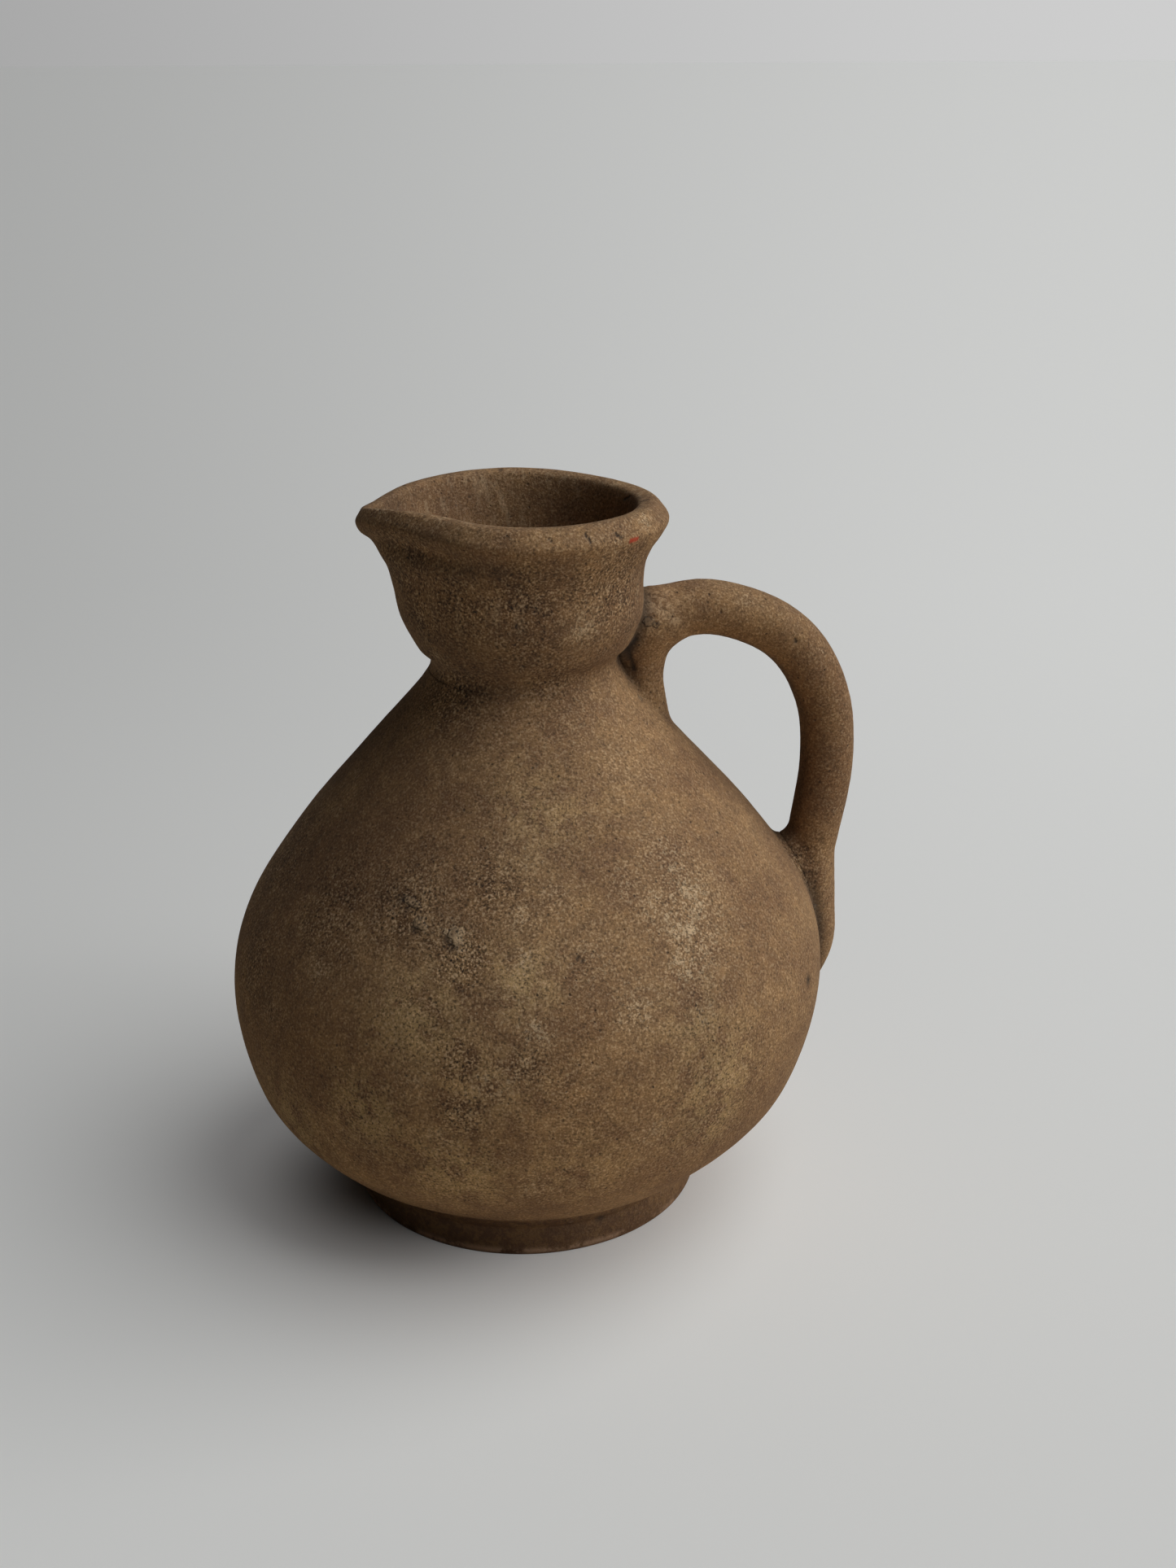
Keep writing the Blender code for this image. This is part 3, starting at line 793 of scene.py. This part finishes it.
class Nodes:
    """Short ways to add shader nodes to a material or world."""

    def __init__(self, owner):
        owner.use_nodes = True
        self.tree = owner.node_tree

    def add(self, kind, inputs=(), **settings):
        """A new node with these inputs, each a value or another node's output."""
        node = self.tree.nodes.new(kind)
        for name, value in settings.items():
            setattr(node, name, value)
        for name, value in dict(inputs).items():
            self.put(node.inputs[name], value)
        return node

    def put(self, socket, value):
        """Link or set one input."""
        if isinstance(value, bpy.types.NodeSocket):
            self.tree.links.new(value, socket)
        else:
            socket.default_value = value

    def math(self, operation, first, second=0.0, third=0.0):
        return self.add("ShaderNodeMath", {0: first, 1: second, 2: third},
                        operation=operation).outputs[0]

    def times(self, first, second):
        return self.math("MULTIPLY", first, second)

    def larger(self, first, second):
        return self.math("MAXIMUM", first, second)

    def scaled(self, value, factor, added=0.0):
        """value * factor + added"""
        return self.math("MULTIPLY_ADD", value, factor, added)

    def vector(self, operation, first, second=(0.0, 0.0, 0.0), output="Value"):
        return self.add("ShaderNodeVectorMath", {0: first, 1: second},
                        operation=operation).outputs[output]

    def step(self, value, low, high, out_low=0.0, out_high=1.0):
        """Smooth change from out_low to out_high as value goes from low to high."""
        return self.add("ShaderNodeMapRange",
                        {"Value": value, "From Min": low, "From Max": high,
                         "To Min": out_low, "To Max": out_high},
                        interpolation_type="SMOOTHSTEP").outputs[0]

    def noise(self, place, size, detail=2.0, roughness=0.5, distortion=0.0):
        """Noise from 0 to 1 with features of the given size in metres."""
        return self.add("ShaderNodeTexNoise",
                        {"Vector": place, "Scale": 1.0 / size, "Detail": detail,
                         "Roughness": roughness, "Distortion": distortion}).outputs["Fac"]

    def grey(self, value):
        """A colour with the value in all its channels."""
        return self.add("ShaderNodeCombineColor",
                        {"Red": value, "Green": value, "Blue": value}).outputs[0]

    def mix(self, factor, first, second, blend="MIX"):
        """Colour mix; plain colours are given as (red, green, blue)."""
        node = self.add("ShaderNodeMix", data_type="RGBA", blend_type=blend)
        for index, value in ((0, factor), (6, first), (7, second)):
            if index and isinstance(value, tuple):
                value = (*value, 1.0)
            self.put(node.inputs[index], value)
        return node.outputs[2]

    def layer(self, name):
        """The three values painted under one name."""
        colour = self.add("ShaderNodeAttribute", attribute_name=name).outputs["Color"]
        return self.add("ShaderNodeSeparateColor", {"Color": colour}).outputs[:3]


# Colours of the clay, and the height that each of its patterns adds to the bump.
WARM_CLAY = (0.335, 0.188, 0.087)
TAN_CLAY = (0.360, 0.218, 0.102)
OLIVE_CLAY = (0.540, 0.378, 0.185)
# colour of the dark stains and of the painted shade
DARK_STAIN_AND_SHADE_CLAY = (0.150, 0.070, 0.022)
PALE_CLAY = (0.700, 0.520, 0.330)
FOOT_CLAY = (0.130, 0.058, 0.020)
FOOT_PATCHES = (0.235, 0.130, 0.048)
WORN_EDGE = (0.620, 0.420, 0.290)
# black of chaff and pits, also of painted shadows and cleft shade
CHAFF_AND_SHADOW_BLACK = (0.030, 0.016, 0.008)
RED_EARTH = (0.560, 0.080, 0.030)
RELIEF = (
    ("sand", 0.18 * MM),
    ("curls", 0.10 * MM),
    ("mottle", 0.12 * MM),
    ("grains", 0.08 * MM),
    ("pits", -0.20 * MM),
    ("chaff", -0.25 * MM),
    ("crumb", 1.3 * MM),
)
WIPING_STRETCH = (1.0, 1.0, 0.07)  # makes the wiping marks in the mouth run up and down
PIT_SPACING = 4.2 * MM


def clay_patterns(nodes):
    """The clay's noises, from its finest sand to its widest clouds, and what is painted on it."""
    place = nodes.add("ShaderNodeTexCoord").outputs["Object"]
    clay = SimpleNamespace()
    # the dark channel is partly stain and partly painted shade
    clay.dust, clay.tan, clay.dark = nodes.layer("stains_and_shade")
    clay.foot, clay.edge, clay.inside = nodes.layer("parts")
    # the first channel also holds painted shadows beside crumbs and painted shade in the brace's
    # cleft
    clay.chaff, clay.red, clay.luting = nodes.layer("marks_and_shadows")
    # the last channel is painted shade in the arm's joints and on the handle's inner side
    crumb, clay.soot, clay.dirt = nodes.layer("relief")

    clay.sand = nodes.noise(place, 0.66 * MM, 1.5, 0.6, 0.3)
    clay.flecks = nodes.noise(place, 1.15 * MM, 4.0, 0.78, 0.6)
    clay.curls = nodes.noise(place, 1.9 * MM, 3.0, 0.62, 1.1)
    clay.mottle = nodes.noise(place, 6.0 * MM, 5.0, 0.68)
    clay.cloud = nodes.noise(place, 26.0 * MM, 4.0, 0.6)
    tall = nodes.vector("MULTIPLY", place, WIPING_STRETCH, "Vector")
    clay.wiping = nodes.step(nodes.noise(tall, 2.2 * MM, 3.0, 0.6), 0.52, 0.68)
    clay.crumb = nodes.step(nodes.math("ADD", clay.curls, crumb), 0.92, 1.12)

    cells = nodes.add("ShaderNodeTexVoronoi", {"Vector": place, "Scale": 1.0 / PIT_SPACING})
    clay.pits = nodes.step(nodes.scaled(clay.curls, 0.16, cells.outputs["Distance"]), 0.18, 0.12)
    clay.dusty = nodes.times(clay.dust, nodes.step(clay.mottle, 0.38, 0.58))
    level = nodes.scaled(clay.dusty, -0.20, 0.635)
    clay.grains = nodes.step(nodes.math("SUBTRACT", clay.flecks, level), 0.0, 0.05)
    return clay


def stained_clay(nodes, clay):
    """Warm and tan clay in clouds, with the olive stain and the dark patches, which are partly
    stain and partly painted shade.
    """
    tone = nodes.scaled(clay.mottle, 0.3, nodes.times(clay.cloud, 0.7))
    colour = nodes.mix(nodes.step(tone, 0.40, 0.60), WARM_CLAY, TAN_CLAY)
    olive = nodes.times(clay.tan, nodes.step(clay.mottle, 0.36, 0.56))
    colour = nodes.mix(olive, colour, OLIVE_CLAY)
    # dark stains and painted shade
    shade = nodes.times(clay.dark, nodes.step(clay.mottle, 0.58, 0.40, 0.15, 0.80))
    return nodes.mix(shade, colour, DARK_STAIN_AND_SHADE_CLAY)


def powdered(nodes, clay, colour):
    """The pale dust: grains, a thin film, luting clay, crumbs and wiping marks in the mouth."""
    powder = nodes.times(clay.grains, nodes.scaled(clay.dust, 0.65, 0.55))
    for layer in (nodes.times(clay.dusty, 0.14),
                  nodes.times(clay.luting, nodes.step(clay.curls, 0.42, 0.60, 0.0, 0.62)),
                  nodes.times(clay.crumb, 0.45),
                  nodes.times(nodes.times(clay.wiping, clay.inside), 0.42)):
        powder = nodes.larger(powder, layer)
    return nodes.mix(powder, colour, PALE_CLAY)


def sanded(nodes, clay, colour):
    """Pale glints and dark hollows of the sand, broad changes of tone, the neck's darkening, and
    painted shade in the arm's joints and on the handle's inner side.
    """
    rugged = nodes.larger(clay.dark, nodes.times(clay.tan, 0.6))
    rugged = nodes.larger(rugged, nodes.times(clay.dust, 0.35))
    powdery = nodes.scaled(nodes.larger(clay.dust, rugged), 0.7, 0.45)
    glints = nodes.times(nodes.step(clay.sand, 0.50, 0.70), powdery)
    colour = nodes.mix(glints, colour, PALE_CLAY)

    hollows = nodes.step(clay.sand, 0.50, 0.28, 0.0, 0.95)
    hollows = nodes.times(hollows, nodes.scaled(rugged, 0.7, 0.42))
    grain = nodes.math("SUBTRACT", 1.0, hollows)
    for pattern, darkest, brightest in ((clay.curls, 0.88, 1.12), (clay.mottle, 0.90, 1.10),
                                        (clay.cloud, 0.86, 1.14)):
        grain = nodes.times(grain, nodes.step(pattern, 0.30, 0.70, darkest, brightest))
    grain = nodes.times(grain, nodes.scaled(clay.soot, -0.34, 1.0))
    # painted shade in the arm's joints and on the handle's inner side
    grain = nodes.times(grain, nodes.scaled(clay.dirt, -0.75, 1.0))
    return nodes.mix(1.0, colour, nodes.grey(grain), "MULTIPLY")


def marked(nodes, clay, colour):
    """The foot's dark slip with its worn edge, pits, chaff, painted shadows beside crumbs, painted
    shade in the brace's cleft, and the red fleck.
    """
    patches = nodes.step(nodes.math("ADD", clay.mottle, clay.curls), 0.92, 1.16)
    slip = nodes.mix(patches, FOOT_CLAY, FOOT_PATCHES)
    colour = nodes.mix(nodes.times(clay.foot, 0.92), colour, slip)
    worn = nodes.times(clay.edge, nodes.step(clay.mottle, 0.38, 0.54))
    colour = nodes.mix(worn, colour, WORN_EDGE)
    colour = nodes.mix(nodes.times(clay.pits, 0.60), colour, CHAFF_AND_SHADOW_BLACK)
    # chaff and pits, with painted shadows beside crumbs and painted shade in the brace's cleft
    colour = nodes.mix(nodes.times(clay.chaff, 0.92), colour, CHAFF_AND_SHADOW_BLACK)
    return nodes.mix(clay.red, colour, RED_EARTH)


def clay_material(name):
    """Unglazed fired clay: sandy grain, mottled tone, pale dust, pits and chaff, with painted shade
    and shadows.
    """
    material = bpy.data.materials.new(name)
    nodes = Nodes(material)
    shader = nodes.tree.nodes["Principled BSDF"]
    clay = clay_patterns(nodes)
    colour = powdered(nodes, clay, stained_clay(nodes, clay))
    colour = marked(nodes, clay, sanded(nodes, clay, colour))
    nodes.put(shader.inputs["Base Color"], colour)

    rough = nodes.scaled(clay.foot, -0.34, nodes.step(clay.mottle, 0.3, 0.7, 0.86, 0.96))
    nodes.put(shader.inputs["Roughness"], rough)
    shader.inputs["Specular IOR Level"].default_value = 1.0

    height = 0.0
    for pattern, amount in RELIEF:
        height = nodes.scaled(getattr(clay, pattern), amount, height)
    relief = nodes.add("ShaderNodeBump", {"Height": height, "Strength": 1.0, "Distance": 1.0})
    nodes.put(shader.inputs["Normal"], relief.outputs["Normal"])
    return material


# View and light. A lamp is (azimuth, elevation, apparent width, strength).
CAMERA_AZIMUTH = math.radians(-10.0)
CAMERA_ELEVATION = math.radians(21.35)
CAMERA_ROLL = math.radians(-0.29)
CAMERA_DISTANCE = 531.9 * MM
CAMERA_TARGET = Vector((18.2 * MM, -3.2 * MM, 122.3 * MM))
CAMERA_LENS = 42.97
VIEW_GAMMA = 0.87
WINDOW = (CAMERA_AZIMUTH + math.radians(90.0), math.radians(55.0), math.radians(60.0), 1.80)
LOW_LIGHT = (CAMERA_AZIMUTH + math.radians(60.0), math.radians(16.0), math.radians(40.0), 0.45)
AMBIENT = (0.008, 0.008, 0.008)
BACKDROP = 0.586                   # brightness of the backdrop that the camera sees
DIM_SIDE, BRIGHT_SIDE = 0.69, 1.13
FLOOR_REACH = 60.0
FLOOR_GREY = (0.745, 0.755, 0.740)
BOUNCE_TINT = (0.80, 0.71, 0.58)   # the floor's colour in the light that it throws on the pot
FLOOR_GLOW = 0.20                  # lifts the floor in view without lighting the pot
DEEP_SHADE = (-36.0 * MM, -6.0 * MM, 0.0)    # middle of the darkest patch of floor
DEEP_SHADE_REACH = (14.0 * MM, 60.0 * MM)


def heading(azimuth, elevation):
    """Unit vector towards a point seen at this azimuth from -Y and elevation."""
    return Vector((math.sin(azimuth) * math.cos(elevation),
                   -math.cos(azimuth) * math.cos(elevation), math.sin(elevation)))


def build_camera():
    """Portrait view from a little above, 10 degrees round towards the spout."""
    back = heading(CAMERA_AZIMUTH, CAMERA_ELEVATION)
    right = Vector((math.cos(CAMERA_AZIMUTH), math.sin(CAMERA_AZIMUTH), 0.0))
    right = Matrix.Rotation(CAMERA_ROLL, 3, back) @ right
    camera = bpy.data.objects.new("camera", bpy.data.cameras.new("camera"))
    camera.data.lens = CAMERA_LENS
    camera.data.sensor_width = 36.0
    camera.matrix_world = (Matrix.Translation(CAMERA_TARGET + back * CAMERA_DISTANCE)
                           @ Matrix((right, back.cross(right), back)).transposed().to_4x4())
    bpy.context.scene.collection.objects.link(camera)
    bpy.context.scene.camera = camera


def side_light(nodes, place, reach, front=0.0):
    """How bright the pale surroundings are here, dimmer on the side away from the window."""
    towards = (math.cos(CAMERA_AZIMUTH), math.sin(CAMERA_AZIMUTH), 0.0)
    across = nodes.vector("DOT_PRODUCT", place, towards)
    length = nodes.vector("LENGTH", place)
    side = nodes.math("DIVIDE", across, nodes.math("ADD", length, reach))
    if front:
        ahead = nodes.vector("DOT_PRODUCT", place, (-towards[1], towards[0], 0.0))
        side = nodes.times(side, nodes.step(ahead, -front, 2.0 * front, 0.25, 1.0))
    return nodes.step(side, -0.5, 0.35, DIM_SIDE, BRIGHT_SIDE)


def build_floor():
    """Large pale sheet, dimmer on the side away from the window and in the deepest shade."""
    mesh = bpy.data.meshes.new("floor")
    corners = [(x * FLOOR_REACH, y * FLOOR_REACH, 0.0)
               for x, y in ((-1, -1), (1, -1), (1, 1), (-1, 1))]
    mesh.from_pydata(corners, [], [(0, 1, 2, 3)])
    floor = bpy.data.objects.new("floor", mesh)
    bpy.context.scene.collection.objects.link(floor)
    material = bpy.data.materials.new("pale_floor")
    mesh.materials.append(material)
    nodes = Nodes(material)
    shader = nodes.tree.nodes["Principled BSDF"]
    place = nodes.add("ShaderNodeTexCoord").outputs["Object"]
    tone = nodes.grey(side_light(nodes, place, 0.6, 0.35))
    seen = nodes.add("ShaderNodeLightPath").outputs["Is Camera Ray"]
    paper = nodes.mix(seen, BOUNCE_TINT, FLOOR_GREY)
    nodes.put(shader.inputs["Base Color"], nodes.mix(1.0, paper, tone, "MULTIPLY"))
    nodes.put(shader.inputs["Emission Color"], tone)
    away = nodes.vector("DISTANCE", place, DEEP_SHADE)
    glow = nodes.step(away, *DEEP_SHADE_REACH, 0.0, FLOOR_GLOW)
    nodes.put(shader.inputs["Emission Strength"], nodes.times(seen, glow))
    shader.inputs["Roughness"].default_value = 0.95
    shader.inputs["Specular IOR Level"].default_value = 0.1


def build_light():
    """A broad window light, a weak low one, a dim room, and a pale backdrop all around."""
    for name, (azimuth, elevation, width, power) in (("window", WINDOW), ("low", LOW_LIGHT)):
        lamp = bpy.data.objects.new(name, bpy.data.lights.new(name, "SUN"))
        lamp.data.energy = power
        lamp.data.angle = width
        lamp.rotation_euler = heading(azimuth, elevation).to_track_quat("Z", "Y").to_euler()
        bpy.context.scene.collection.objects.link(lamp)

    world = bpy.data.worlds.new("studio")
    nodes = Nodes(world)
    nodes.tree.nodes["Background"].inputs["Color"].default_value = (*AMBIENT, 1.0)
    place = nodes.add("ShaderNodeTexCoord").outputs["Generated"]
    backdrop = nodes.grey(nodes.times(side_light(nodes, place, 0.0), BACKDROP))
    seen = nodes.add("ShaderNodeBackground", {"Color": backdrop}).outputs[0]
    camera_ray = nodes.add("ShaderNodeLightPath").outputs["Is Camera Ray"]
    choice = nodes.add("ShaderNodeMixShader", {0: camera_ray, 2: seen})
    nodes.put(choice.inputs[1], nodes.tree.nodes["Background"].outputs[0])
    nodes.put(nodes.tree.nodes["World Output"].inputs["Surface"], choice.outputs[0])
    bpy.context.scene.world = world


def build_pieces():
    """The nine pieces, by the CAD node that each stands for."""
    clay = clay_material("fired_clay")
    foot = clay_material("foot_clay")
    luting = clay_material("luting_clay")
    pieces = {
        "belly": build_belly(clay),
        "neck": build_neck(clay),
        "foot": build_foot(foot),
        "neck_luting_coil": build_neck_coil(luting),
        "foot_luting_coil": build_foot_coil(luting),
    }
    rods = {    # (name, path, depth, points around, spacing of the rings, material)
        "handle": ("handle_clay", HANDLE, 1.0, 84, 0.8 * MM, clay),
        "handle_brace": ("handle_brace_clay", BRACE, BRACE_DEPTH, 72, 0.6 * MM, clay),
        "handle_top_luting_clay": ("handle_top_lump", COLLAR, COLLAR_DEPTH, 120, 0.35 * MM, luting),
        "handle_tail_clay": ("handle_tail", TAIL, TAIL_WIDTH, 84, 0.6 * MM, luting),
    }
    for node, (name, path, depth, sides, spacing, material) in rods.items():
        pieces[node] = build_rod(name, node, path, depth, sides, spacing, material)
    return pieces


build_camera()
build_floor()
build_light()
scene_view = bpy.context.scene.view_settings
scene_view.view_transform = "Standard"
scene_view.gamma = VIEW_GAMMA
for node_name, piece in build_pieces().items():
    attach(piece, "root")
    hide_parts(node_name)
